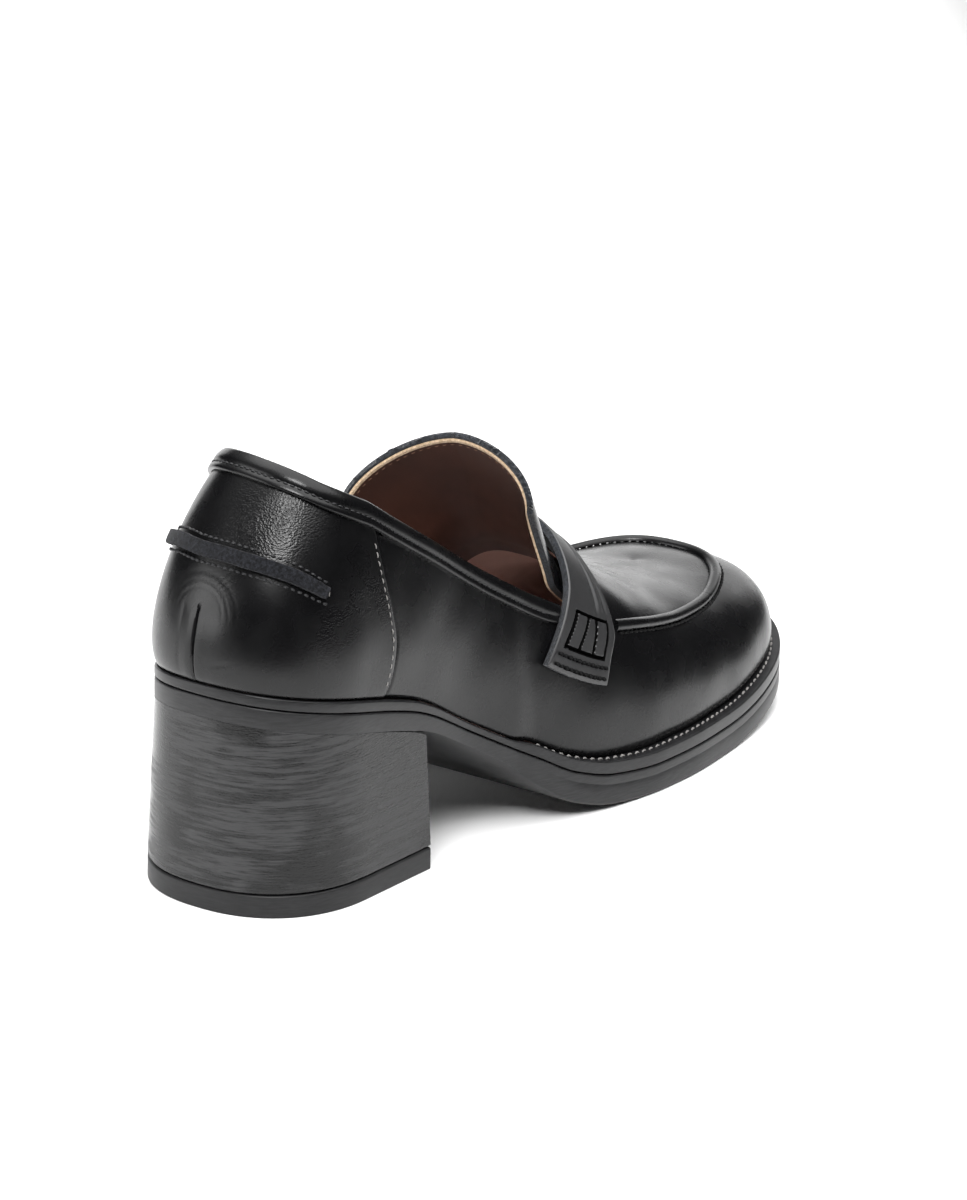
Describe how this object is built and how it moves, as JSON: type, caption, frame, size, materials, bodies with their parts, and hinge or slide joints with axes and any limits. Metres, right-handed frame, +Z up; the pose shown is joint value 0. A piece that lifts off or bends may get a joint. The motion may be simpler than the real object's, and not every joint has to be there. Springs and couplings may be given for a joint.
{
  "type": "block heel loafer",
  "caption": "Right loafer pump with a stacked block heel, moccasin apron, instep strap, stand-up tongue and bound topline.",
  "frame": {"origin": "on the floor under the middle of the shoe's box", "axes": "+X points to the toe and is the shoe's length, +Y to the inner (medial) side, +Z up; the shoe is for the right foot"},
  "size_m": [0.2458, 0.0896, 0.1168],
  "materials": {
    "outsole": "burnished black sole edge, satin",
    "welt": "black rand and welt, satin",
    "heel": "stacked layers burnished dark grey",
    "heel_tap": "matte black rubber",
    "insole": "smooth brown lining leather",
    "upper": "polished black calf, brown lining inside",
    "tongue": "polished black calf with a raw edge",
    "saddle_strap": "polished black calf with a raw edge",
    "collar_binding": "folded black calf band",
    "heel_strap": "raw charcoal strip",
    "apron_seam": "rolled black calf"
  },
  "bodies": {
    "root": {"outsole": "outsole", "welt": "welt", "heel": "heel", "heel_tap": "heel_tap", "insole": "insole", "upper": "upper", "tongue": "tongue", "saddle_strap": "saddle_strap", "collar_binding": "collar_binding", "heel_strap": "heel_strap", "apron_seam": "apron_seam"}
  },
  "joints": []
}
